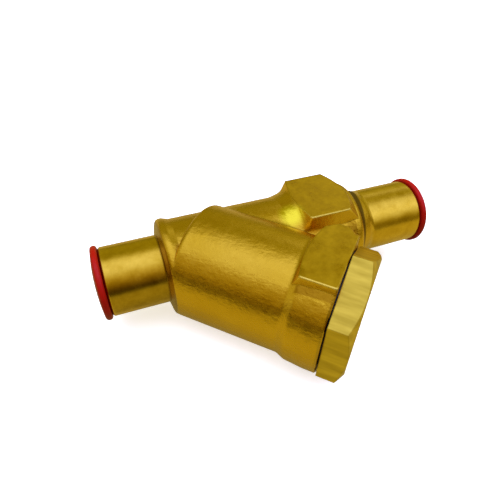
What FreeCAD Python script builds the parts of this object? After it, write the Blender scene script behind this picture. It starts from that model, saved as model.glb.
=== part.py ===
# Y strainer: forged body, screwed hex cap, flat gasket, removable basket and two end plugs.
# Frame, mm: X is the flow axis from inlet to outlet, Z is square to the plane of the Y, and the
# barrel runs towards +X and -Y at 45 degrees. The origin is on the flow axis, inside the inlet
# socket; the run and barrel axes cross at x = cross_x.
import FreeCAD, Part
import Sketcher
import math
import os

V = FreeCAD.Vector
doc = FreeCAD.newDocument("y_strainer")
sheet = doc.addObject("Spreadsheet::Sheet", "dims")
aliases = []


class Size:
    """A number together with the expression that drives it."""

    def __init__(self, value, text):
        self.value = float(value)
        self.text = text

    def __add__(self, other):
        other = lift(other)
        return Size(self.value + other.value, "(%s + %s)" % (self.text, other.text))

    def __sub__(self, other):
        other = lift(other)
        return Size(self.value - other.value, "(%s - %s)" % (self.text, other.text))

    def __mul__(self, other):
        other = lift(other)
        return Size(self.value * other.value, "(%s * %s)" % (self.text, other.text))

    def __truediv__(self, other):
        other = lift(other)
        return Size(self.value / other.value, "(%s / %s)" % (self.text, other.text))

    def __neg__(self):
        return Size(-self.value, "(0 - %s)" % self.text)


def lift(number):
    return number if isinstance(number, Size) else Size(number, repr(float(number)))


def trig(function, degrees):
    """A Size for sin, cos or tan of an angle."""
    degrees = lift(degrees)
    value = getattr(math, function)(math.radians(degrees.value))
    return Size(value, "%s(%s * 1 deg)" % (function, degrees.text))


def size(alias, value):
    """One driving dimension: a spreadsheet cell with an alias."""
    aliases.append(alias)
    row = len(aliases)
    sheet.set("A%d" % row, alias)
    sheet.set("B%d" % row, repr(float(value)))
    sheet.setAlias("B%d" % row, alias)
    return Size(value, "dims." + alias)


# ---------------------------------------------------------------- driving sizes, mm
# _r is a radius. Except for cross_x, _x and _end on the run are distances from the crossing
# along the run; _s, and _end on the barrel, are distances from the crossing along the barrel.
cross_x = size("cross_x", 20.4)
branch_angle = size("branch_angle", 45.0)
# stubs, their solder sockets and the bores; the inlet's lengths are measured towards -X
stub_r = size("stub_r", 12.7)
inlet_end = size("inlet_end", 34.7)
outlet_end = size("outlet_end", 91.6)
stub_edge = size("stub_edge", 0.8)
socket_r = size("socket_r", 11.16)
socket_deep = size("socket_deep", 20.3)
lead_r = size("lead_r", 11.35)
lead_deep = size("lead_deep", 8.3)
bore_r = size("bore_r", 9.5)
inlet_bore_end = size("inlet_bore_end", 3.0)
outlet_bore_start = size("outlet_bore_start", 20.5)
# run body: the shoulder, lip and trim are on the inlet side, measured towards -X
shoulder_x = size("shoulder_x", 14.0)
lip_face_x = size("lip_face_x", 12.7)
lip_back_x = size("lip_back_x", 10.4)
lip_toe_x = size("lip_toe_x", 8.0)
lip_r = size("lip_r", 18.2)
lip_round = size("lip_round", 1.9)
trim_x = size("trim_x", 12.8)
run_r = size("run_r", 17.4)
bead_toe_x = size("bead_toe_x", 54.5)
bead_x = size("bead_x", 58.6)
bead_r = size("bead_r", 18.1)
run_end = size("run_end", 61.1)
run_end_r = size("run_end_r", 17.8)
run_round = size("run_round", 2.2)
cone_x = size("cone_x", 63.6)
cone_r = size("cone_r", 14.5)
cone_end = size("cone_end", 69.0)
# run wrench pads
pad_half = size("pad_half", 12.0)
pad_z = size("pad_z", 19.0)
flare_toe_x = size("flare_toe_x", 31.5)
flare_toe_r = size("flare_toe_r", 17.1)
flare_root_x = size("flare_root_x", 37.7)
flare_root_r = size("flare_root_r", 18.5)
flare_root_round = size("flare_root_round", 3.2)
flare_top_x = size("flare_top_x", 39.8)
flare_top_r = size("flare_top_r", 22.8)
flare_end_x = size("flare_end_x", 54.7)
flare_foot_x = size("flare_foot_x", 60.2)
flare_foot_r = size("flare_foot_r", 17.6)
# barrel, collar and mouth
barrel_r = size("barrel_r", 21.7)
barrel_back = size("barrel_back", 0.2)
barrel_round = size("barrel_round", 2.0)
collar_foot_s = size("collar_foot_s", 39.8)
collar_top_s = size("collar_top_s", 42.9)
collar_r = size("collar_r", 22.95)
collar_end = size("collar_end", 49.5)
collar_round = size("collar_round", 2.0)
collar_blend = size("collar_blend", 1.6)
mouth_r = size("mouth_r", 23.5)
mouth_s = size("mouth_s", 54.4)
mouth_edge = size("mouth_edge", 0.5)
# mouth pads: how far they reach from the barrel axis towards the inlet and the outlet
mouth_pad_inlet = size("mouth_pad_inlet", 12.7)
mouth_pad_outlet = size("mouth_pad_outlet", 16.4)
mouth_pad_z = size("mouth_pad_z", 22.4)
mouth_pad_s = size("mouth_pad_s", 38.0)
crown_foot_s = size("crown_foot_s", 39.9)
crown_foot_r = size("crown_foot_r", 21.0)
crown_rise_s = size("crown_rise_s", 42.5)
crown_rise_r = size("crown_rise_r", 25.8)
crown_top_s = size("crown_top_s", 46.5)
crown_top_r = size("crown_top_r", 27.7)
crown_fall_s = size("crown_fall_s", 50.2)
crown_tip_s = size("crown_tip_s", 53.0)
crown_tip_r = size("crown_tip_r", 26.0)
# barrel cavity
throat_r = size("throat_r", 10.5)
throat_back = size("throat_back", 5.0)
throat_round = size("throat_round", 3.0)
seat_s = size("seat_s", 5.0)
register_r = size("register_r", 14.6)
register_s = size("register_s", 8.5)
chamber_r = size("chamber_r", 18.2)
chamber_end = size("chamber_end", 42.0)
chamber_round = size("chamber_round", 1.5)
relief_r = size("relief_r", 20.15)
relief_end = size("relief_end", 44.0)
relief_taper = size("relief_taper", 1.0)
female_r = size("female_r", 19.15)
mouth_flare = size("mouth_flare", 1.2)
mouth_flare_deep = size("mouth_flare_deep", 1.0)
mouth_flare_over = size("mouth_flare_over", 0.2)
# both threads; the half widths are shares of the pitch
thread_pitch = size("thread_pitch", 1.5875)
thread_deep = size("thread_deep", 0.9)
thread_over = size("thread_over", 0.25)
wide_share = size("wide_share", 0.46)
narrow_share = size("narrow_share", 0.08)
female_lead = size("female_lead", 0.6)
male_lead = size("male_lead", 0.9)
thread_run_out = size("thread_run_out", 1.0)
# gasket and cap
gasket_thick = size("gasket_thick", 0.5)
gasket_in = size("gasket_in", 19.4)
gasket_out = size("gasket_out", 20.3)
hex_flats = size("hex_flats", 42.0)
hex_thick = size("hex_thick", 8.6)
hex_turn = size("hex_turn", -3.1)
hex_face_r = size("hex_face_r", 20.4)
male_r = size("male_r", 19.05)
male_s = size("male_s", 43.4)
male_relief_s = size("male_relief_s", 52.7)
male_relief_extra = size("male_relief_extra", 0.05)
male_relief_share = size("male_relief_share", 0.6)
recess_r = size("recess_r", 14.85)
recess_s = size("recess_s", 56.5)
recess_lead = size("recess_lead", 0.8)
# basket
tube_out = size("tube_out", 14.1)
tube_in = size("tube_in", 13.5)
mesh_out = size("mesh_out", 13.45)
mesh_in = size("mesh_in", 13.15)
ring_out = size("ring_out", 14.45)
ring_in = size("ring_in", 11.0)
ring_wall_in = size("ring_wall_in", 14.12)
ring_base = size("ring_base", 0.8)
ring_skirt = size("ring_skirt", 3.2)
hole_r = size("hole_r", 2.0)
hole_first = size("hole_first", 12.0)
hole_rise = size("hole_rise", 5.2)
holes_round = size("holes_round", 12)
hole_rows = size("hole_rows", 4)
# end plugs
plug_r = size("plug_r", 13.6)
plug_rim = size("plug_rim", 2.2)
plug_dome = size("plug_dome", 1.3)
plug_dome_r = size("plug_dome_r", 71.79)
plug_hollow = size("plug_hollow", 0.6)
plug_round = size("plug_round", 1.05)
plug_inner_round = size("plug_inner_round", 0.95)
spigot_r = size("spigot_r", 11.2)
spigot_wall = size("spigot_wall", 1.1)
spigot_long = size("spigot_long", 6.0)
# how far cutting shapes pass beyond what they cut
bore_over = size("bore_over", 5.0)
block_over = size("block_over", 2.0)
cap_over = size("cap_over", 1.0)
plug_end_over = size("plug_end_over", 2.0)
turning_out = size("turning_out", 20.0)
turning_back = size("turning_back", 60.0)
slab_side = size("slab_side", 400.0)
doc.recompute()

# positions along the barrel
cap_face_s = mouth_s + gasket_thick
cap_top_s = cap_face_s + hex_thick
tube_start = seat_s + ring_base
tube_end = recess_s - ring_base

# ---------------------------------------------------------------- placements
UP = V(0, 0, 1)
branch_cos = trig("cos", branch_angle)
branch_sin = trig("sin", branch_angle)
RUN_AXIS = V(1, 0, 0)
BRANCH_AXIS = V(branch_cos.value, -branch_sin.value, 0)


def frame_along(axis, clock=0):
    """Own Z along the axis and own X up, then turned about own Z by the clock angle."""
    side = axis.cross(UP)
    matrix = FreeCAD.Matrix(UP.x, side.x, axis.x, cross_x.value, UP.y, side.y, axis.y, 0,
                            UP.z, side.z, axis.z, 0, 0, 0, 0, 1)
    clocking = FreeCAD.Placement(V(0, 0, 0), FreeCAD.Rotation(UP, clock))
    return FreeCAD.Placement(matrix).multiply(clocking)


ALONG_RUN = frame_along(RUN_AXIS)
ALONG_BRANCH = frame_along(BRANCH_AXIS)
# clocked apart, so that run and barrel pieces do not start their revolve on the same line
RUN_CLOCKED = frame_along(RUN_AXIS, -90)
BRANCH_CLOCKED = frame_along(BRANCH_AXIS, 90)


# ---------------------------------------------------------------- sketches
def new_body(name, place):
    body = doc.addObject("PartDesign::Body", name)
    body.Label = name
    body.Placement = place
    body.setExpression("Placement.Base.x", cross_x.text)
    doc.recompute()
    return body


def origin_feature(body, role):
    return next(f for f in body.Origin.OriginFeatures if f.Role == role)


def new_sketch(body, name, role):
    sketch = body.newObject("Sketcher::SketchObject", name)
    sketch.AttachmentSupport = [(origin_feature(body, role), "")]
    sketch.MapMode = "FlatFace"
    doc.recompute()
    return sketch


def drive(obj, prop, amount):
    """Set a property and bind it to its driving expression."""
    setattr(obj, prop, amount.value)
    obj.setExpression(prop, amount.text)


def hold_radius(sketch, geo, radius):
    i = sketch.addConstraint(Sketcher.Constraint("Radius", geo, radius.value))
    sketch.setExpression("Constraints[%d]" % i, radius.text)


def pin(sketch, geo, pos, coord, along_x):
    """Hold one coordinate of a point to its driving size."""
    if coord.text == "0.0":
        axis = -2 if along_x else -1
        sketch.addConstraint(Sketcher.Constraint("PointOnObject", geo, pos, axis))
        return
    # a distance constraint is positive, so a negative coordinate is measured the other way
    kind = "DistanceX" if along_x else "DistanceY"
    if coord.value >= 0:
        constraint = Sketcher.Constraint(kind, -1, 1, geo, pos, coord.value)
        text = coord.text
    else:
        constraint = Sketcher.Constraint(kind, geo, pos, -1, 1, -coord.value)
        text = "0 - %s" % coord.text
    i = sketch.addConstraint(constraint)
    sketch.setExpression("Constraints[%d]" % i, text)


def arc_middle(start, end, radius, bulge):
    chord = end - start
    rise = radius - math.sqrt(radius ** 2 - (chord.Length / 2) ** 2)
    left = V(-chord.y, chord.x, 0)
    left.normalize()
    return (start + end) * 0.5 + left * (rise * bulge)


def closed(sketch, points):
    """A closed outline. A point is (x, y) or (x, y, radius, bulge): the last two make the
    side that starts there an arc, bulging to its left (+1) or right (-1)."""
    coords = [(lift(point[0]), lift(point[1])) for point in points]
    corners = [V(x.value, y.value, 0) for x, y in coords]
    count = len(points)
    sides = []  # geometry, its start position, its end position, arc radius or None
    for i, point in enumerate(points):
        start, end = corners[i], corners[(i + 1) % count]
        if len(point) == 4:
            radius, bulge = point[2:]
            middle = arc_middle(start, end, radius.value, bulge)
            geo = sketch.addGeometry(Part.Arc(start, middle, end), False)
            # the sketcher may store an arc end for end
            flipped = sketch.getPoint(geo, 1).distanceToPoint(start) > 1e-6
            sides.append((geo, 2, 1, radius) if flipped else (geo, 1, 2, radius))
        else:
            geo = sketch.addGeometry(Part.LineSegment(start, end), False)
            sides.append((geo, 1, 2, None))
    for i, (geo, _, end_pos, _) in enumerate(sides):
        following, start_pos = sides[(i + 1) % count][:2]
        sketch.addConstraint(
            Sketcher.Constraint("Coincident", geo, end_pos, following, start_pos))
    for (geo, start_pos, _, radius), (x, y) in zip(sides, coords):
        pin(sketch, geo, start_pos, x, True)
        pin(sketch, geo, start_pos, y, False)
        if radius is not None:
            hold_radius(sketch, geo, radius)
    doc.recompute()


# ---------------------------------------------------------------- features
def revolved(body, name, outline, kind="Revolution"):
    """Outline in (radius, distance along the axis), turned about the body's own Z."""
    sketch = new_sketch(body, name + "_outline", "XZ_Plane")
    closed(sketch, outline)
    feature = body.newObject("PartDesign::" + kind, name)
    feature.Profile = sketch
    feature.ReferenceAxis = (sketch, ["V_Axis"])
    feature.Angle = 360
    doc.recompute()


def grooved(body, name, outline):
    before = body.Shape.Volume
    revolved(body, name, outline, "Groove")
    if not body.Shape.Volume < before - 1e-6:
        raise ValueError("%s removed nothing" % name)


def ring_edges(shape, wanted):
    """Names of the circular edges about own Z at each (distance, radius)."""
    names = []
    for distance, radius in wanted:
        hits = []
        for i, edge in enumerate(shape.Edges):
            if edge.Degenerated or not isinstance(edge.Curve, Part.Circle):
                continue
            circle = edge.Curve
            centre = circle.Center
            if abs(circle.Radius - radius.value) < 1e-3 \
                    and abs(centre.z - distance.value) < 1e-3 \
                    and abs(centre.x) + abs(centre.y) < 1e-3:
                hits.append("Edge%d" % (i + 1))
        if not hits:
            raise ValueError("no edge at %r %r" % (distance.value, radius.value))
        names += hits
    return names


def edged(body, name, kind, amount, wanted):
    """A Fillet or Chamfer on the circular edges at each (distance, radius)."""
    base = body.Tip
    feature = body.newObject("PartDesign::" + kind, name)
    feature.Base = (base, ring_edges(base.Shape, wanted))
    drive(feature, "Radius" if kind == "Fillet" else "Size", amount)
    doc.recompute()


def turned(name, place, feature, outline, edges=()):
    """A body turned from one outline; edges lists what follows its name in edged()."""
    body = new_body(name, place)
    revolved(body, feature, outline)
    for edge in edges:
        edged(body, *edge)
    return body


def sleeve(name, feature, inner, outer, start, end):
    """A plain ring about the barrel axis."""
    return turned(name, ALONG_BRANCH, feature,
                  [(inner, start), (outer, start), (outer, end), (inner, end)])


def helix(body, name, kind, outline, height):
    """The outline swept as a thread round own Z."""
    sketch = new_sketch(body, name + "_outline", "XZ_Plane")
    closed(sketch, outline)
    feature = body.newObject("PartDesign::%sHelix" % kind, name)
    feature.Profile = sketch
    feature.ReferenceAxis = (sketch, ["V_Axis"])
    feature.Mode = 0  # pitch and height
    drive(feature, "Pitch", thread_pitch)
    drive(feature, "Height", height)
    doc.recompute()


def block(name, lengths, corner, rotation=FreeCAD.Rotation()):
    box = doc.addObject("Part::Box", name)
    box.Placement = FreeCAD.Placement(V(0, 0, 0), rotation)
    for prop, amount in zip(("Length", "Width", "Height"), lengths):
        drive(box, prop, amount)
    for axis, amount in zip("xyz", corner):
        box.setExpression("Placement.Base." + axis, amount.text)
    doc.recompute()
    return box


def combine(kind, name, *shapes):
    feature = doc.addObject("Part::" + kind, name)
    if kind == "Cut":
        feature.Base, feature.Tool = shapes
    else:
        feature.Shapes = list(shapes)
    feature.Refine = False
    doc.recompute()
    return feature


# ---------------------------------------------------------------- forged body: outside
def make_run():
    return turned("run_blank", RUN_CLOCKED, "run_turned", [
        (0, -inlet_end), (stub_r, -inlet_end), (stub_r, -shoulder_x),
        (lip_r, -lip_face_x), (lip_r, -lip_back_x), (run_r, -lip_toe_x),
        (run_r, bead_toe_x), (bead_r, bead_x), (run_end_r, run_end),
        (cone_r, cone_x), (stub_r, cone_end), (stub_r, outlet_end), (0, outlet_end),
    ], [
        ("lip_rounding", "Fillet", lip_round, [(-lip_face_x, lip_r), (-lip_back_x, lip_r)]),
        ("run_end_rounding", "Fillet", run_round, [(run_end, run_end_r)]),
        ("stub_edges", "Chamfer", stub_edge, [(-inlet_end, stub_r), (outlet_end, stub_r)]),
    ])


def make_barrel():
    barrel = turned("barrel_blank", BRANCH_CLOCKED, "barrel_turned", [
        (0, -barrel_back), (barrel_r, -barrel_back), (barrel_r, collar_foot_s),
        (collar_r, collar_top_s), (mouth_r, collar_end), (mouth_r, mouth_s), (0, mouth_s),
    ], [
        ("barrel_rounding", "Fillet", barrel_round, [(-barrel_back, barrel_r)]),
        ("collar_rounding", "Fillet", collar_round, [(collar_top_s, collar_r)]),
        ("collar_blend", "Fillet", collar_blend, [(collar_foot_s, barrel_r)]),
        ("mouth_edge_cut", "Chamfer", mouth_edge, [(mouth_s, mouth_r)]),
    ])
    # the barrel stops short on the inlet side, next to the lip's face
    trim = block("shoulder_trim", (barrel_r * 2, barrel_r * 4, barrel_r * 4),
                 (cross_x - trim_x - barrel_r * 2, -(barrel_r * 2), -(barrel_r * 2)))
    return combine("Cut", "barrel_trimmed", barrel, trim)


def make_run_pads():
    """Flats on the run, above and below: a flared turning cut to a block."""
    flare = turned("run_pad_flare", RUN_CLOCKED, "run_flare", [
        (0, flare_toe_x), (flare_toe_r, flare_toe_x), (flare_root_r, flare_root_x),
        (flare_top_r, flare_top_x), (flare_top_r, flare_end_x), (flare_foot_r, flare_foot_x),
        (0, flare_foot_x),
    ], [("run_flare_root", "Fillet", flare_root_round, [(flare_root_x, flare_root_r)])])
    limits = block("run_pad_block",
                   (flare_foot_x - flare_toe_x + block_over * 2, pad_half * 2, pad_z * 2),
                   (cross_x + flare_toe_x - block_over, -pad_half, -pad_z))
    return combine("MultiCommon", "run_pads", flare, limits)


def make_mouth_pads():
    """Flats on the mouth, above and below: a crowned turning cut to a block."""
    crown = turned("mouth_pad_crown", BRANCH_CLOCKED, "mouth_crown", [
        (0, crown_foot_s), (crown_foot_r, crown_foot_s), (crown_rise_r, crown_rise_s),
        (crown_top_r, crown_top_s), (crown_top_r, crown_fall_s), (crown_tip_r, crown_tip_s),
        (crown_tip_r, mouth_s), (0, mouth_s)])
    limits = block(
        "mouth_pad_block",
        (mouth_s - mouth_pad_s + block_over * 2, mouth_pad_inlet + mouth_pad_outlet,
         mouth_pad_z * 2),
        (cross_x + mouth_pad_s * branch_cos - mouth_pad_inlet * branch_sin,
         -(mouth_pad_s * branch_sin) - mouth_pad_inlet * branch_cos,
         -mouth_pad_z),
        FreeCAD.Rotation(UP, -branch_angle.value))
    return combine("MultiCommon", "mouth_pads", crown, limits)


def make_blank():
    joined = combine("MultiFuse", "joined_blank",
                     make_run(), make_barrel(), make_run_pads(), make_mouth_pads())
    # nothing stands higher or lower than the mouth's flats
    slab = block("mouth_flat_slab", (slab_side, slab_side, mouth_pad_z * 2),
                 (-(slab_side / 2), -(slab_side / 2), -mouth_pad_z))
    return combine("MultiCommon", "forging_blank", joined, slab)


# ---------------------------------------------------------------- forged body: inside
def make_inlet_bores():
    return turned("inlet_bores", RUN_CLOCKED, "inlet_bore_turned", [
        (0, -(inlet_end + bore_over)), (lead_r, -(inlet_end + bore_over)),
        (lead_r, -(inlet_end - lead_deep)), (socket_r, -(inlet_end - lead_deep)),
        (socket_r, -(inlet_end - socket_deep)), (bore_r, -(inlet_end - socket_deep)),
        (bore_r, inlet_bore_end), (0, inlet_bore_end)])


def make_outlet_bores():
    return turned("outlet_bores", RUN_CLOCKED, "outlet_bore_turned", [
        (0, outlet_bore_start), (bore_r, outlet_bore_start),
        (bore_r, outlet_end - socket_deep), (socket_r, outlet_end - socket_deep),
        (socket_r, outlet_end - lead_deep), (lead_r, outlet_end - lead_deep),
        (lead_r, outlet_end + bore_over), (0, outlet_end + bore_over)])


def make_barrel_cavity():
    flare_r = female_r + mouth_flare
    return turned("barrel_cavity", BRANCH_CLOCKED, "cavity_turned", [
        (0, -throat_back), (throat_r, -throat_back), (throat_r, seat_s),
        (register_r, seat_s), (register_r, register_s), (chamber_r, register_s),
        (chamber_r, chamber_end), (relief_r, chamber_end), (relief_r, relief_end),
        (female_r, relief_end + relief_taper), (female_r, mouth_s - mouth_flare_deep),
        (flare_r, mouth_s + mouth_flare_over), (flare_r, mouth_s + bore_over),
        (0, mouth_s + bore_over),
    ], [
        ("throat_rounding", "Fillet", throat_round, [(-throat_back, throat_r)]),
        ("chamber_rounding", "Fillet", chamber_round, [(register_s, chamber_r)]),
    ])


def make_female_thread():
    tool = new_body("female_thread_tool", ALONG_BRANCH)
    start = relief_end - female_lead
    wide, narrow = thread_pitch * wide_share, thread_pitch * narrow_share
    inner, outer = female_r - thread_over, female_r + thread_deep
    helix(tool, "female_thread", "Additive", [
        (inner, start - wide), (outer, start - narrow),
        (outer, start + narrow), (inner, start + wide)],
        mouth_s - start + thread_run_out)
    return tool


def make_strainer_body():
    blank = make_blank()
    cavities = combine("MultiFuse", "body_cavities",
                       make_inlet_bores(), make_outlet_bores(), make_barrel_cavity())
    hollow = combine("Cut", "hollow_forging", blank, cavities)
    return combine("Cut", "strainer_body", hollow, make_female_thread())


# ---------------------------------------------------------------- hex cap
def hexagon(sketch, corner_r):
    """A regular hexagon on a construction circle, its first corner hex_turn from own X."""
    angles = [math.radians(hex_turn.value + 60 * k) for k in range(7)]
    corners = [V(math.cos(a), math.sin(a), 0) * corner_r.value for a in angles]
    sides = [sketch.addGeometry(Part.LineSegment(corners[k], corners[k + 1]), False)
             for k in range(6)]
    guide = sketch.addGeometry(Part.Circle(V(0, 0, 0), UP, corner_r.value), True)
    sketch.addConstraint(Sketcher.Constraint("Coincident", guide, 3, -1, 1))
    hold_radius(sketch, guide, corner_r)
    for k in range(6):
        sketch.addConstraint(
            Sketcher.Constraint("Coincident", sides[k], 2, sides[(k + 1) % 6], 1))
        sketch.addConstraint(Sketcher.Constraint("PointOnObject", sides[k], 1, guide))
    for k in range(5):
        sketch.addConstraint(Sketcher.Constraint("Equal", sides[k], sides[k + 1]))
    pin(sketch, sides[0], 1, corner_r * trig("sin", hex_turn), False)
    doc.recompute()


def make_cap():
    cap = new_body("hex_cap", ALONG_BRANCH)
    corner_r = hex_flats / 2 / trig("cos", 30)
    sketch = new_sketch(cap, "hex_outline", "XY_Plane")
    hexagon(sketch, corner_r)
    pad = cap.newObject("PartDesign::Pad", "hex_block")
    pad.Profile = sketch
    drive(pad, "Length", cap_top_s)
    doc.recompute()

    # everything of the block below the hex is turned down to the plug, with a relief
    root_r = male_r - thread_deep
    relief_floor_r = root_r - male_relief_extra
    clear_r, clear_s = male_r + turning_out, male_s - turning_back
    grooved(cap, "plug_turning", [
        (male_r, clear_s), (clear_r, clear_s), (clear_r, cap_face_s),
        (relief_floor_r, cap_face_s), (relief_floor_r, male_relief_s),
        (male_r, male_relief_s - thread_deep * male_relief_share)])
    # cut to length, with a bevel at the end
    end_r = male_r + plug_end_over
    grooved(cap, "plug_end", [
        (0, -cap_over), (end_r, -cap_over), (end_r, male_s + thread_deep + plug_end_over),
        (root_r, male_s), (0, male_s)])
    # 30 degree chamfer across the hex corners
    outside_r = corner_r + cap_over
    drop = (outside_r - hex_face_r) * trig("tan", 30)
    grooved(cap, "hex_chamfer", [
        (hex_face_r, cap_top_s), (outside_r, cap_top_s - drop),
        (outside_r, cap_top_s + cap_over), (hex_face_r, cap_top_s + cap_over)])
    grooved(cap, "basket_recess", [
        (0, male_s - cap_over), (recess_r + recess_lead + cap_over, male_s - cap_over),
        (recess_r, male_s + recess_lead), (recess_r, recess_s), (0, recess_s)])

    start = male_s - male_lead
    wide, narrow = thread_pitch * wide_share, thread_pitch * narrow_share
    outer = male_r + thread_over
    helix(cap, "male_thread", "Subtractive", [
        (outer, start - wide), (outer, start + wide),
        (root_r, start + narrow), (root_r, start - narrow)],
        male_relief_s - start + thread_run_out)
    return cap


# ---------------------------------------------------------------- basket
def drill_rows(body, name, first_s, clock):
    """A ring of holes through the wall, repeated along the axis."""
    sketch = new_sketch(body, name + "_circle", "YZ_Plane")
    circle = sketch.addGeometry(Part.Circle(V(0, first_s.value, 0), UP, hole_r.value), False)
    hold_radius(sketch, circle, hole_r)
    pin(sketch, circle, 3, lift(0), True)
    pin(sketch, circle, 3, first_s, False)
    sketch.AttachmentOffset = FreeCAD.Placement(V(0, 0, 0),
                                                FreeCAD.Rotation(V(0, 1, 0), clock))
    doc.recompute()
    hole = body.newObject("PartDesign::Pocket", name + "_hole")
    hole.Profile = sketch
    hole.Type = 0
    drive(hole, "Length", tube_out + 2)
    doc.recompute()
    body.Tip = hole
    pattern = body.newObject("PartDesign::MultiTransform", name + "_holes")
    pattern.Originals = [hole]
    axis = (origin_feature(body, "Z_Axis"), [""])
    around = doc.addObject("PartDesign::PolarPattern", name + "_round")
    around.Axis = axis
    around.Angle = 360
    around.Occurrences = int(holes_round.value)
    around.setExpression("Occurrences", holes_round.text)
    along = doc.addObject("PartDesign::LinearPattern", name + "_along")
    along.Direction = axis
    along.Mode = 0
    drive(along, "Length", hole_rise * 2 * (hole_rows - 1))
    along.Occurrences = int(hole_rows.value)
    along.setExpression("Occurrences", hole_rows.text)
    pattern.Transformations = [around, along]
    doc.recompute()
    body.Tip = pattern
    doc.recompute()


def make_tube():
    """The perforated tube; every other row of holes is staggered by half a hole pitch."""
    tube = sleeve("screen_support_tube", "tube_wall", tube_in, tube_out, tube_start, tube_end)
    solid_wall = tube.Shape.Volume
    drill_rows(tube, "row_a", hole_first, 0.0)
    drill_rows(tube, "row_b", hole_first + hole_rise, 180.0 / holes_round.value)
    if not tube.Shape.Volume < solid_wall * 0.85:
        raise ValueError("the tube's holes are missing")
    return tube


def make_seat_ring():
    skirt_end = seat_s + ring_skirt
    return turned("screen_seat_ring", ALONG_BRANCH, "seat_ring_wall", [
        (ring_in, seat_s), (ring_out, seat_s), (ring_out, skirt_end),
        (ring_wall_in, skirt_end), (ring_wall_in, tube_start), (ring_in, tube_start)])


def make_end_disc():
    skirt_end = recess_s - ring_skirt
    return turned("screen_end_disc", ALONG_BRANCH, "end_disc_wall", [
        (0, recess_s), (ring_out, recess_s), (ring_out, skirt_end),
        (ring_wall_in, skirt_end), (ring_wall_in, tube_end), (0, tube_end)])


# ---------------------------------------------------------------- end plugs
def make_end_plug(name, face, sign):
    """A domed plug on the stub's end face; sign is the way it points along the run."""
    rim = face + plug_rim * sign
    spigot_end = face - spigot_long * sign
    hollow_end = face + plug_hollow * sign
    spigot_in = spigot_r - spigot_wall
    return turned(name, ALONG_RUN, name + "_moulding", [
        (0, rim + plug_dome * sign, plug_dome_r, sign), (plug_r, rim), (plug_r, face),
        (spigot_r, face), (spigot_r, spigot_end), (spigot_in, spigot_end),
        (spigot_in, hollow_end), (0, hollow_end),
    ], [
        (name + "_rim", "Fillet", plug_round, [(rim, plug_r)]),
        (name + "_inner_rim", "Fillet", plug_inner_round, [(face, plug_r)]),
    ])


# ---------------------------------------------------------------- build, check and export
pieces = [
    make_strainer_body(),
    make_cap(),
    sleeve("cap_gasket", "gasket_ring", gasket_in, gasket_out, mouth_s, cap_face_s),
    make_tube(),
    sleeve("screen_mesh", "mesh_wall", mesh_in, mesh_out, tube_start, tube_end),
    make_seat_ring(),
    make_end_disc(),
    make_end_plug("inlet_plug", -inlet_end, -1),
    make_end_plug("outlet_plug", outlet_end, 1),
]
doc.recompute()
for obj in doc.Objects:
    state = [str(word) for word in obj.State]
    if "Invalid" in state or "Error" in state:
        raise ValueError("%s is %s" % (obj.Name, state))
for piece in pieces:
    if piece.Shape.isNull() or not piece.Shape.isValid():
        raise ValueError("%s has no valid shape" % piece.Name)
    if len(piece.Shape.Solids) != 1:
        raise ValueError("%s has %d solids" % (piece.Name, len(piece.Shape.Solids)))
os.makedirs("parts", exist_ok=True)
for piece in pieces:
    piece.Shape.exportStep("parts/%s.step" % piece.Label)
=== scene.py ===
import math
from types import SimpleNamespace

import bpy
from mathutils import Matrix, Vector


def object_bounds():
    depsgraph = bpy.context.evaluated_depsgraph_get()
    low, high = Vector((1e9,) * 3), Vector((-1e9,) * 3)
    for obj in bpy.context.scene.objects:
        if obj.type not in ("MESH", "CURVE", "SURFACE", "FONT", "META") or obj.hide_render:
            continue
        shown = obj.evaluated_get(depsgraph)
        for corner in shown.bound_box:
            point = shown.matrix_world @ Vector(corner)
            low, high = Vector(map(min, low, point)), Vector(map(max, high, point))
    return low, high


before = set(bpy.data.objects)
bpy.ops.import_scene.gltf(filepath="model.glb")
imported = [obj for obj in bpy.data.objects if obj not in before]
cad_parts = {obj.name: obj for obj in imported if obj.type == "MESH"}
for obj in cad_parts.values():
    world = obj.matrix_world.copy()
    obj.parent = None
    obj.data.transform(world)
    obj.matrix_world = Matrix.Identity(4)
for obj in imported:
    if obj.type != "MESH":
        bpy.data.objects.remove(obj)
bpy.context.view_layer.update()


CROSS = Vector((0.0204, 0.0, 0.0))  # where the flow axis and the barrel axis meet
C45 = math.cos(math.pi / 4)
BARREL = Vector((C45, -C45, 0.0))
ACROSS = (C45, C45, 0.0)  # horizontal, square to the barrel
NOISE_CORE = (0.3, 0.7)  # where most values of a noise fall

CAMERA_AZIMUTH = math.radians(-22.24067)
CAMERA_ELEVATION = math.radians(43.69033)
CAMERA_ROLL = math.radians(2.01441)
CAMERA_OFFSET = Vector((-0.02671, -0.11650, 0.11849))  # from CROSS
AZ_SIN, AZ_COS = math.sin(CAMERA_AZIMUTH), math.cos(CAMERA_AZIMUTH)


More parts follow.
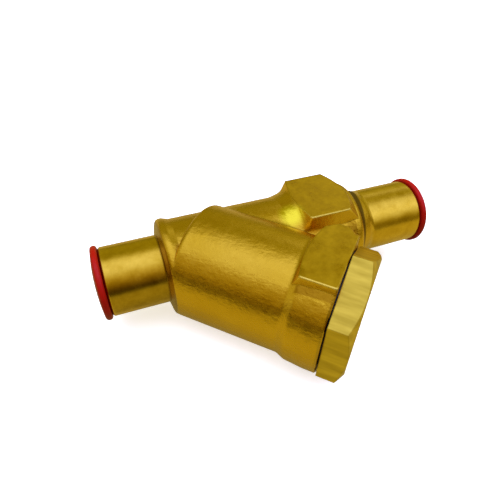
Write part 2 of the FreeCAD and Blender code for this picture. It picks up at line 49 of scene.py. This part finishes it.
# ------------------------------------------------------------------ node helpers
class Shader:
    """Builds a node tree; values given to a node may be sockets or constants."""

    def __init__(self, tree, output, coordinates):
        tree.nodes.clear()
        self.tree = tree
        self.out = self.node(output)
        self.place = self.node("TexCoord").outputs[coordinates]

    def node(self, kind, inputs=(), **settings):
        """inputs is a dict by socket name or index, or a sequence in socket order."""
        new = self.tree.nodes.new("ShaderNode" + kind)
        for name, value in settings.items():
            setattr(new, name, value)
        for slot, value in inputs.items() if isinstance(inputs, dict) else enumerate(inputs):
            self.put(new.inputs[slot], value)
        return new

    def put(self, socket, value):
        if isinstance(value, bpy.types.NodeSocket):
            self.tree.links.new(value, socket)
        else:
            socket.default_value = value

    def output(self, shader):
        self.put(self.out.inputs[0], shader)

    def math(self, operation, *values, clamp=False):
        """One value, or a chain of values worked from left to right."""
        total, *rest = values
        for value in rest or (0.0,):
            inputs = (total, value, 0.0)
            total = self.node("Math", inputs, operation=operation, use_clamp=clamp).outputs[0]
        return total

    def times(self, *values):
        return self.math("MULTIPLY", *values)

    def plus(self, *values, clamp=False):
        return self.math("ADD", *values, clamp=clamp)

    def vector(self, operation, first, second=(0, 0, 0)):
        new = self.node("VectorMath", (first, second), operation=operation)
        return new.outputs["Value" if operation in ("DOT_PRODUCT", "LENGTH") else 0]

    def dot(self, first, second):
        return self.vector("DOT_PRODUCT", first, second)

    def combine(self, x, y, z):
        return self.node("CombineXYZ", (x, y, z)).outputs[0]

    def split(self, vector):
        return tuple(self.node("SeparateXYZ", (vector,)).outputs)

    def span(self, value, over=NOISE_CORE, to=(0.0, 1.0), smooth=False):
        """Maps the range over to the range to, clamped."""
        kind = "SMOOTHSTEP" if smooth else "LINEAR"
        inputs = (value, *over, *to)
        return self.node("MapRange", inputs, clamp=True, interpolation_type=kind).outputs[0]

    def window(self, value, within, soft):
        """1 inside the range, falling to 0 over the width soft on each side."""
        low, high = within
        return self.times(
            self.span(value, (low - soft, low), smooth=True),
            self.span(value, (high, high + soft), to=(1.0, 0.0), smooth=True),
        )

    def mix(self, amount, first, second):
        """Mixes two colours, each a socket or an RGB triple."""
        first, second = (
            c if isinstance(c, bpy.types.NodeSocket) else (*c, 1.0) for c in (first, second)
        )
        return self.node("Mix", {0: amount, 6: first, 7: second}, data_type="RGBA").outputs[2]

    def blend(self, amount, first, second):
        """Mixes two numbers."""
        return self.node("Mix", {0: amount, 2: first, 3: second}, data_type="FLOAT").outputs[0]


class Material(Shader):
    def __init__(self, name):
        self.data = bpy.data.materials.new(name)
        self.data.use_nodes = True
        super().__init__(self.data.node_tree, "OutputMaterial", "Object")

    def principled(self, inputs):
        return self.node("BsdfPrincipled", inputs).outputs[0]

    def finish(self, inputs):
        self.output(self.principled(inputs))
        return self.data

    def shifted(self, offset):
        return self.vector("ADD", self.place, offset)

    def noise(self, scale, detail=2.0, rough=0.5, at=None):
        at = self.place if at is None else at
        inputs = {"Scale": scale, "Detail": detail, "Roughness": rough, "Vector": at}
        return self.node("TexNoise", inputs).outputs["Fac"]

    def stretched(self, axes, rates, detail=2.0, rough=0.5):
        """Noise with its own rate, in cells per metre, along each axis."""
        at = self.combine(*(self.times(axis, rate) for axis, rate in zip(axes, rates)))
        return self.noise(1.0, detail, rough, at=at)

    def bump(self, height, distance, strength, normal=None):
        inputs = {"Strength": strength, "Distance": distance, "Height": height}
        if normal is not None:
            inputs["Normal"] = normal
        return self.node("Bump", inputs).outputs[0]

    def soft_edges(self, radius, samples=6):
        return self.node("Bevel", {"Radius": radius}, samples=samples).outputs[0]

    def hollows(self, distance):
        """Near 0 in hollows, 1 in the open."""
        return self.node("AmbientOcclusion", {"Distance": distance}, samples=6).outputs["AO"]

    def geometry(self, output):
        return self.node("NewGeometry").outputs[output]

    def barrel_frame(self):
        """Position from CROSS: the vector, then along the barrel, across it and up."""
        rel = self.vector("SUBTRACT", self.place, CROSS)
        return rel, self.dot(rel, BARREL), self.dot(rel, ACROSS), self.split(rel)[2]


# ------------------------------------------------------------------ forged body
FORGED = {  # linear RGB
    "base": ((0.74, 0.455, 0.016), (0.82, 0.525, 0.030)),
    "flat": ((0.62, 0.375, 0.008), (0.86, 0.56, 0.020)),
    "turned": ((0.70, 0.44, 0.020), (0.90, 0.60, 0.045)),
    "pit": (0.34, 0.16, 0.004),
    # the next colour is edge wear together with a painted highlight on the edges
    "rubbed_and_lit": (0.96, 0.73, 0.10),
    # the next colour is painted shade for the hollows, found by ambient occlusion
    "hollow": (0.24, 0.085, 0.002),
    # the next colour is painted shade for the corner at the foot of the inlet stub
    "step": (0.26, 0.13, 0.003),
    # the next colour is painted shade for the recess under the mouth's flats
    "under_pad_shade": (0.38, 0.18, 0.003),
    # the next colour is a painted highlight, the hot spot on the blend beside the run's flat
    "crotch_glint": (1.0, 0.83, 0.03),
    # the next colour is dark scale together with painted shade beside the outlet stub
    "scale": (0.15, 0.085, 0.006),
}


def body_zones(mat):
    """Coordinates from CROSS, and a mask for each zone of the forging."""
    rel, along, across, _ = mat.barrel_frame()
    x, y, z = mat.split(rel)
    height = mat.math("ABSOLUTE", z)
    out_run = mat.vector("LENGTH", mat.combine(0.0, y, z))
    out_barrel = mat.vector("LENGTH", mat.combine(across, z, 0.0))
    # the stubs are turned smooth, outside the shoulders
    turned = mat.plus(
        mat.span(x, over=(-0.0138, -0.01405)), mat.span(x, over=(0.0668, 0.0680)), clamp=True
    )
    # the struck flats on the run and on the mouth
    run_flat = mat.times(
        mat.window(height, within=(0.01894, 0.01906), soft=0.00008),
        mat.window(x, within=(0.0375, 0.0605), soft=0.0005),
        mat.span(mat.math("ABSOLUTE", y), over=(0.0121, 0.0123), to=(1.0, 0.0)),
    )
    mouth_flat = mat.times(
        mat.window(height, within=(0.02232, 0.02250), soft=0.00008),
        mat.span(along, over=(0.0395, 0.0402)),
    )
    # the crotch between the run and the barrel has a wide blend
    crotch = mat.times(
        mat.window(out_run, within=(0.0165, 0.0205), soft=0.0015),
        mat.window(out_barrel, within=(0.0205, 0.0250), soft=0.0015),
        mat.window(x, within=(0.012, 0.044), soft=0.006),
    )
    # the bare end of the run beside the outlet stub is darkened on a slant: dark scale
    # together with painted shade from the body's shoulder
    lean = mat.math("SUBTRACT", x, mat.times(mat.plus(y, 0.008), 0.16))
    scale = mat.times(
        mat.window(lean, within=(0.0616, 0.0646), soft=0.0008),
        mat.span(out_run, over=(0.0174, 0.0166)),
    )
    # lips along the -Y edge of the run's flats and the same side of the mouth's
    run_lip = mat.times(
        mat.window(y, within=(-0.0130, -0.0112), soft=0.0004),
        mat.times(
            mat.span(height, over=(0.0174, 0.0180)),
            mat.window(x, within=(0.0385, 0.0570), soft=0.0010),
        ),
    )
    mouth_lip = mat.times(
        mat.window(across, within=(-0.0138, -0.0118), soft=0.0004),
        mat.times(
            mat.span(height, over=(0.0206, 0.0212)), mat.span(along, over=(0.0400, 0.0415))
        ),
    )
    # painted shade at the foot of the inlet stub, in the corner where it meets the shoulder
    step = mat.times(
        mat.window(x, within=(-0.0142, -0.0126), soft=0.0003),
        mat.window(out_run, within=(0.0126, 0.0172), soft=0.0006),
    )
    # painted shade in the recess just below the near edge of the mouth's flats
    under_pad_shade = mat.times(
        mat.window(across, within=(-0.0147, -0.0131), soft=0.0004),
        mat.window(height, within=(0.0130, 0.0212), soft=0.0010),
        mat.window(along, within=(0.0425, 0.0535), soft=0.0010),
    )
    # painted highlight: a bright yellow hot spot in the colour of the blend beside the run's
    # flat, which is also made smoother
    glint_centre = (0.0345, -0.0056, 0.0168)
    spot = mat.vector("SUBTRACT", mat.combine(x, y, height), glint_centre)
    crotch_glint = mat.span(mat.vector("LENGTH", spot), over=(0.0062, 0.0022), smooth=True)
    return SimpleNamespace(
        run=(x, y, z), barrel=(along, across, z), turned=turned, crotch=crotch, scale=scale,
        flat=mat.plus(run_flat, mouth_flat, clamp=True),
        lip=mat.plus(run_lip, mouth_lip, clamp=True),
        step=step, under_pad_shade=under_pad_shade, crotch_glint=crotch_glint,
    )


def forged_height(mat, zone, pits, rings):
    lump = mat.noise(scale=190)
    mid = mat.noise(scale=620, detail=3, rough=0.55)
    grain = mat.noise(scale=1500, detail=3, rough=0.6)
    streak = mat.stretched(zone.barrel, rates=(260, 1000, 1000), detail=3, rough=0.6)
    # the factors are the share of each texture in the relief
    rough = mat.plus(
        mat.times(lump, 0.30), mat.times(mid, 0.15), mat.times(grain, 0.055),
        mat.times(streak, 0.12),
    )
    rough = mat.math("SUBTRACT", rough, mat.times(pits, 0.055))
    struck = mat.plus(mat.times(lump, 0.20), mat.times(grain, 0.05))
    turned = mat.plus(mat.times(rings, 0.03), mat.times(lump, 0.08))
    return mat.blend(zone.turned, mat.blend(zone.flat, rough, struck), turned)


def rubbed_and_lit_edges(mat, soft, openness):
    """Convex edges, where the softened normal leaves the true one, in patches: rubbed wear
    together with a painted highlight.
    """
    turn = mat.dot(soft, mat.geometry("Normal"))
    patches = mat.span(mat.noise(scale=330), over=(0.25, 0.55), to=(0.45, 1.0))
    return mat.times(
        mat.span(turn, over=(0.998, 0.955), smooth=True),
        mat.span(openness, over=(0.80, 0.95)),
        patches,
    )


def forged_color(mat, zone, pits, spots, wear_and_highlight, openness):
    tone = mat.noise(scale=60, detail=3, rough=0.55)
    gold = mat.mix(mat.span(tone), *FORGED["base"])
    gold = mat.mix(mat.times(pits, 0.55), gold, FORGED["pit"])
    flat = mat.mix(mat.span(spots, over=(0.30, 0.66)), *FORGED["flat"])
    gold = mat.mix(zone.flat, gold, flat)
    turned = mat.mix(mat.span(spots, over=(0.30, 0.68)), *FORGED["turned"])
    gold = mat.mix(zone.turned, gold, turned)
    # edges are rubbed bright and given a painted highlight, most of all the lips; hollows get
    # painted shade in brown
    gold = mat.mix(mat.times(wear_and_highlight, mat.blend(zone.lip, 0.25, 0.95)), gold, FORGED["rubbed_and_lit"])
    shade = mat.span(openness, over=(0.15, 0.80), to=(0.85, 0.0), smooth=True)
    gold = mat.mix(shade, gold, FORGED["hollow"])
    # painted shade in the corner at the foot of the inlet stub
    gold = mat.mix(mat.times(zone.step, 0.65), gold, FORGED["step"])
    # painted shade in the recess under the mouth's flats
    gold = mat.mix(mat.times(zone.under_pad_shade, 0.75), gold, FORGED["under_pad_shade"])
    # painted highlight: the bright yellow hot spot beside the run's flat
    gold = mat.mix(zone.crotch_glint, gold, FORGED["crotch_glint"])
    # dark scale together with painted shade on the run's end beside the outlet stub
    return mat.mix(mat.times(zone.scale, 0.9), gold, FORGED["scale"])


def forged_roughness(mat, zone, rings, spots, wear_and_highlight):
    cast = mat.span(mat.noise(scale=420, detail=3, rough=0.6), to=(0.21, 0.33))
    rough = mat.blend(zone.flat, cast, mat.span(spots, to=(0.26, 0.40)))
    turned = mat.plus(
        mat.span(rings, to=(0.15, 0.20)), mat.span(spots, over=(0.35, 0.65), to=(0.0, 0.06))
    )
    rough = mat.blend(zone.turned, rough, turned)
    scaly, polished = 0.5, 0.16
    rough = mat.blend(zone.scale, rough, scaly)
    rough = mat.blend(mat.times(wear_and_highlight, zone.lip), rough, polished)
    return mat.blend(zone.crotch_glint, rough, polished)


def forged_brass():
    mat = Material("forged_brass")
    zone = body_zones(mat)
    cells = {"Scale": 1250, "Vector": mat.shifted((0.3, 0.1, 0.7))}
    pits = mat.node("TexVoronoi", cells).outputs["Distance"]
    pitted = mat.noise(scale=170, at=mat.shifted((1.3, 2.1, 0.2)))
    pits = mat.times(
        mat.span(pits, over=(0.0, 0.20), to=(1.0, 0.0)), mat.span(pitted, over=(0.50, 0.62))
    )
    rings = mat.stretched(zone.run, rates=(7000, 45, 45))
    spots = mat.noise(scale=240, detail=4, rough=0.65, at=mat.shifted((0.7, 0.2, 1.9)))
    # edge radii: general, crotch, lip
    radius = mat.blend(zone.lip, mat.blend(zone.crotch, 0.00085, 0.0026), 0.0013)
    soft = mat.soft_edges(radius, samples=8)
    openness = mat.hollows(distance=0.0030)
    wear_and_highlight = rubbed_and_lit_edges(mat, soft, openness)
    height = forged_height(mat, zone, pits, rings)
    return mat.finish({
        "Metallic": 1.0,
        "Base Color": forged_color(mat, zone, pits, spots, wear_and_highlight, openness),
        "Roughness": forged_roughness(mat, zone, rings, spots, wear_and_highlight),
        "Normal": mat.bump(height, distance=0.00065, strength=0.85, normal=soft),
    })


# ------------------------------------------------------------------ other parts
def machined_brass():
    """Drawn hexagon bar: fine lines and broad bands along it, the end faced in a lathe."""
    mat = Material("machined_brass")
    _, along, across, up = mat.barrel_frame()
    axes = (along, across, up)
    out = mat.vector("LENGTH", mat.combine(across, up, 0.0))
    facing = mat.math("ABSOLUTE", mat.dot(mat.geometry("Normal"), BARREL))
    end = mat.span(facing, over=(0.93, 0.98))
    marks = mat.stretched(axes, rates=(260, 2300, 2300), detail=3, rough=0.6)
    bands = mat.stretched(axes, rates=(60, 420, 420))
    faced = mat.stretched((out, across, up), rates=(4200, 30, 30), rough=0.6)
    # the factors are the share of each texture in the relief
    height = mat.plus(mat.times(marks, 0.06), mat.times(bands, 0.10))
    height = mat.blend(end, height, mat.times(faced, 0.05))
    soft = mat.soft_edges(radius=0.00045)
    side_gold = mat.mix(mat.span(bands), (0.62, 0.445, 0.032), (0.88, 0.655, 0.058))
    cloud = mat.noise(scale=70, detail=3)
    end_gold = mat.mix(mat.span(cloud), (0.72, 0.52, 0.040), (0.82, 0.61, 0.055))
    gold = mat.mix(end, side_gold, end_gold)
    openness = mat.hollows(distance=0.0020)
    shade = mat.span(openness, over=(0.15, 0.80), to=(0.8, 0.0), smooth=True)
    brown = (0.26, 0.12, 0.006)
    rough = mat.blend(end, mat.span(marks, to=(0.30, 0.42)), mat.span(faced, to=(0.24, 0.36)))
    return mat.finish({
        "Metallic": 1.0,
        "Base Color": mat.mix(shade, gold, brown),
        "Roughness": rough,
        "Normal": mat.bump(height, distance=0.0005, strength=0.8, normal=soft),
    })


def gasket_black():
    mat = Material("gasket_black")
    grain = mat.noise(scale=1500, detail=3, rough=0.6)
    return mat.finish({
        "Base Color": mat.mix(grain, (0.012, 0.012, 0.012), (0.035, 0.034, 0.032)),
        "Roughness": mat.span(grain, to=(0.55, 0.75)),
        "Normal": mat.bump(grain, distance=0.0001, strength=0.5),
    })


def stainless(name, tone, rough):
    mat = Material(name)
    axes = mat.barrel_frame()[1:]
    drawn = mat.stretched(axes, rates=(3000, 120, 120), detail=3, rough=0.6)
    cloud = mat.noise(scale=220)
    dark = (tone * 0.9, tone * 0.9, tone * 0.88)
    return mat.finish({
        "Metallic": 1.0,
        "Base Color": mat.mix(cloud, dark, (tone, tone, tone * 0.98)),
        "Roughness": mat.span(drawn, to=(rough - 0.05, rough + 0.07)),
        "Normal": mat.bump(drawn, distance=0.0002, strength=0.35),
    })


def woven_mesh():
    mat = Material("stainless_mesh")
    _, along, across, up = mat.barrel_frame()
    angle = mat.math("ARCTAN2", across, up)
    pitch = 0.00045
    radius = 0.0133
    waves = []
    for value, rate in (
        (along, 2 * math.pi / pitch),
        (angle, 2 * math.pi * radius / pitch),
    ):
        phase = mat.times(value, rate, 0.5)
        waves.append(mat.math("ABSOLUTE", mat.math("SINE", phase)))
    wire = mat.math("MAXIMUM", *waves)
    # painted shade: the openings between the wires are coloured near black, in place of the
    # shaded inside seen through them
    gap, steel = (0.03, 0.03, 0.03), (0.55, 0.55, 0.53)
    return mat.finish({
        "Metallic": 1.0,
        "Base Color": mat.mix(mat.span(wire, over=(0.45, 0.85)), gap, steel),
        "Roughness": 0.38,
        "Normal": mat.bump(wire, distance=0.0002, strength=0.8),
    })


def red_plastic():
    mat = Material("red_plastic")
    cloud = mat.noise(scale=180)
    fine = mat.noise(scale=1300, detail=3, rough=0.6)
    soft = mat.soft_edges(radius=0.0003)
    return mat.finish({
        "Base Color": mat.mix(cloud, (0.30, 0.004, 0.002), (0.38, 0.007, 0.003)),
        "Roughness": mat.span(fine, to=(0.34, 0.46)),
        "IOR": 1.5,
        "Specular IOR Level": 0.16,
        "Subsurface Weight": 0.08,
        "Subsurface Radius": (0.002, 0.0005, 0.0004),
        "Normal": mat.bump(fine, distance=0.00006, strength=0.5, normal=soft),
    })


def dress_parts():
    looks = {
        "strainer_body": forged_brass(),
        "hex_cap": machined_brass(),
        "cap_gasket": gasket_black(),
        "screen_support_tube": stainless("stainless", tone=0.60, rough=0.28),
        "screen_seat_ring": stainless("basket_ring", tone=0.58, rough=0.24),
        "screen_mesh": woven_mesh(),
        "inlet_plug": red_plastic(),
    }
    looks["screen_end_disc"] = looks["screen_seat_ring"]
    looks["outlet_plug"] = looks["inlet_plug"]
    for name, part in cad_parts.items():
        part.data.materials.clear()
        part.data.materials.append(looks[name])
        for poly in part.data.polygons:
            poly.material_index = 0


# ------------------------------------------------------------------ floor
def floor_paper():
    """White paper to the camera; to all other rays a warm glowing card."""
    mat = Material("floor_paper")
    azimuth = -22.24  # degrees, towards the camera
    turn = math.radians(azimuth)
    gaze = math.radians(azimuth + 22.0)
    grain = mat.noise(scale=300, detail=3)
    paper = mat.principled({
        "Base Color": mat.mix(grain, (0.93, 0.93, 0.93), (0.955, 0.955, 0.955)),
        "Roughness": 0.9,
        "Specular IOR Level": 0.1,
    })
    glow = mat.node("Emission", {"Color": (1.0, 1.0, 1.0, 1.0), "Strength": 0.62}).outputs[0]
    paper = mat.node("AddShader", (paper, glow)).outputs[0]
    # the card dims towards the camera, under the part and for rays that meet it along gaze
    from_part = mat.vector("SUBTRACT", mat.place, (0.0, -0.02, 0.0))
    ahead = mat.dot(from_part, (math.sin(turn), -math.cos(turn), 0.0))
    far = mat.span(ahead, over=(0.06, 0.42), to=(0.52, 0.14), smooth=True)
    under = mat.span(mat.hollows(distance=0.035), over=(0.25, 0.95), to=(0.45, 1.0))
    x, y, _ = mat.split(mat.geometry("Incoming"))
    level = mat.vector("NORMALIZE", mat.combine(x, y, 0.0))
    facing = mat.dot(level, (-math.sin(gaze), math.cos(gaze), 0.0))
    flag = mat.span(facing, over=(0.80, 1.0), to=(1.0, 0.62))
    card = {"Color": (1.0, 0.84, 0.30, 1.0), "Strength": mat.times(far, under, flag)}
    card = mat.node("Emission", card).outputs[0]
    seen = mat.node("LightPath").outputs["Is Camera Ray"]
    mat.output(mat.node("MixShader", (seen, card, paper)).outputs[0])
    return mat.data


def build_floor():
    gap = 0.0002  # below the lowest point
    floor_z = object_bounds()[0][2] - gap
    bpy.ops.mesh.primitive_plane_add(size=6.0, location=(0.05, 0.0, floor_z))
    floor = bpy.context.object
    floor.name = "floor"
    floor.data.materials.append(floor_paper())


# ------------------------------------------------------------------ light
SKY_TOP = 1.25  # brightness that a ramp value of 1 stands for
NADIR, ZENITH = (-90, 0.46), (89, 0.92)  # ends shared by all profiles
# per side: green share of the dim parts, then (elevation in degrees, brightness)
SKY = {
    "front_left": (0.62, [
        (-12, 0.36), (-3, 0.14), (1, 0.06), (6, 0.09), (12, 0.20), (20, 0.33), (28, 0.42),
        (38, 0.48), (45, 0.52), (50, 0.80), (56, 1.00), (63, 0.76), (70, 0.82)]),
    "front": (0.62, [
        (-12, 0.30), (-3, 0.10), (1, 0.05), (8, 0.05), (15, 0.11), (22, 0.17), (30, 0.26),
        (38, 0.36), (45, 0.44), (50, 0.52), (56, 0.62), (63, 0.70), (70, 0.80)]),
    "sides": (0.74, [
        (-5, 0.40), (3, 0.34), (10, 0.52), (17, 0.68), (26, 0.50), (37, 0.50), (43, 0.80),
        (50, 0.78), (60, 0.76), (68, 0.90), (76, 0.94)]),
    "right": (0.74, [
        (-5, 0.36), (3, 0.20), (12, 0.24), (20, 0.46), (28, 0.74), (38, 1.00), (46, 1.04),
        (54, 0.84), (68, 0.90), (76, 0.94)]),
    "rear_left": (0.86, [
        (-5, 0.30), (3, 0.24), (10, 0.28), (20, 0.32), (30, 0.33), (38, 0.31), (50, 0.29),
        (58, 0.35), (67, 0.50), (78, 0.72)]),
    "rear_right": (0.86, [
        (-5, 0.36), (3, 0.27), (10, 0.33), (20, 0.40), (30, 0.48), (36, 0.74), (41, 0.36),
        (50, 0.36), (58, 0.40), (67, 0.52), (78, 0.72)]),
}


def sky_ramp(shader, height, green, stops):
    """A ramp over the elevation: bright parts are neutral, dim parts are warm."""
    new = shader.node("ValToRGB", (height,))
    elements = new.color_ramp.elements
    while len(elements) > 1:
        elements.remove(elements[-1])
    for i, (degrees, brightness) in enumerate([NADIR, *stops, ZENITH]):
        position = (math.sin(math.radians(degrees)) + 1) / 2
        element = elements[0] if i == 0 else elements.new(position)
        element.position = position
        red = brightness / SKY_TOP
        cool = max(0.0, min(1.0, (brightness - 0.15) / 0.70))  # 0 warm, 1 neutral
        blue = 0.03 + 2.20 * cool ** 2.6
        element.color = (red, red * (green + (1.04 - green) * cool), red * blue, 1)
    return new.outputs[0]


def build_world():
    world = bpy.data.worlds.new("studio")
    bpy.context.scene.world = world
    world.use_nodes = True
    shader = Shader(world.node_tree, "OutputWorld", "Generated")
    height = shader.span(shader.split(shader.place)[2], over=(-1.0, 1.0))
    sky = {side: sky_ramp(shader, height, *profile) for side, profile in SKY.items()}
    to_camera = shader.dot(shader.place, (AZ_SIN, -AZ_COS, 0.0))
    to_right = shader.dot(shader.place, (AZ_COS, AZ_SIN, 0.0))
    front = (AZ_SIN - 0.6 * AZ_COS, -AZ_COS - 0.6 * AZ_SIN, 0.0)  # towards camera and left
    to_front = shader.dot(shader.place, front)

    def fade(heading, over, first, second):
        return shader.mix(shader.span(heading, over, smooth=True), first, second)

    rear = fade(to_right, (0.0, 0.14), sky["rear_left"], sky["rear_right"])
    left = fade(to_camera, (0.12, 0.45), sky["sides"], sky["front_left"])
    right = fade(to_right, (0.35, 0.62), sky["sides"], sky["right"])
    right = fade(to_front, (0.15, 0.40), right, sky["front"])
    studio = fade(to_right, (-0.25, 0.12), left, right)
    studio = fade(to_camera, (-0.12, -0.45), studio, rear)
    lit = shader.node("Background", (studio, SKY_TOP)).outputs[0]
    white = shader.node("Background", ((1, 1, 1, 1), 1.0)).outputs[0]
    seen = shader.node("LightPath").outputs["Is Camera Ray"]
    shader.output(shader.node("MixShader", (seen, lit, white)).outputs[0])


def build_softbox():
    place = Vector((0.02, -0.06, 0.80))
    aim = Vector((0.045, -0.015, 0.0))
    light = bpy.data.lights.new("softbox_top", "AREA")
    light.shape = "RECTANGLE"
    light.size, light.size_y = 0.95, 0.80
    light.energy = 7.5
    softbox = bpy.data.objects.new("softbox_top", light)
    bpy.context.scene.collection.objects.link(softbox)
    softbox.location = place
    softbox.rotation_euler = (aim - place).to_track_quat("-Z", "Y").to_euler()
    softbox.visible_glossy = False


# ------------------------------------------------------------------ camera
def build_camera():
    scene = bpy.context.scene
    lens = bpy.data.cameras.new("camera")
    camera = bpy.data.objects.new("camera", lens)
    scene.collection.objects.link(camera)
    level = math.cos(CAMERA_ELEVATION)
    back = Vector((AZ_SIN * level, -AZ_COS * level, math.sin(CAMERA_ELEVATION)))
    right = Vector((AZ_COS, AZ_SIN, 0.0))
    up = back.cross(right)
    cos_roll, sin_roll = math.cos(CAMERA_ROLL), math.sin(CAMERA_ROLL)
    rolled_right = right * cos_roll + up * sin_roll
    rolled_up = -right * sin_roll + up * cos_roll
    pose = Matrix((rolled_right, rolled_up, back)).transposed().to_4x4()
    pose.translation = CROSS + CAMERA_OFFSET
    camera.matrix_world = pose
    lens.sensor_width = 36.0
    lens.lens = 31.716
    lens.clip_start = 0.005
    scene.camera = camera
    scene.view_settings.view_transform = "Standard"
    scene.view_settings.look = "None"
    scene.view_settings.exposure = 0.0


dress_parts()
build_floor()
build_world()
build_softbox()
build_camera()
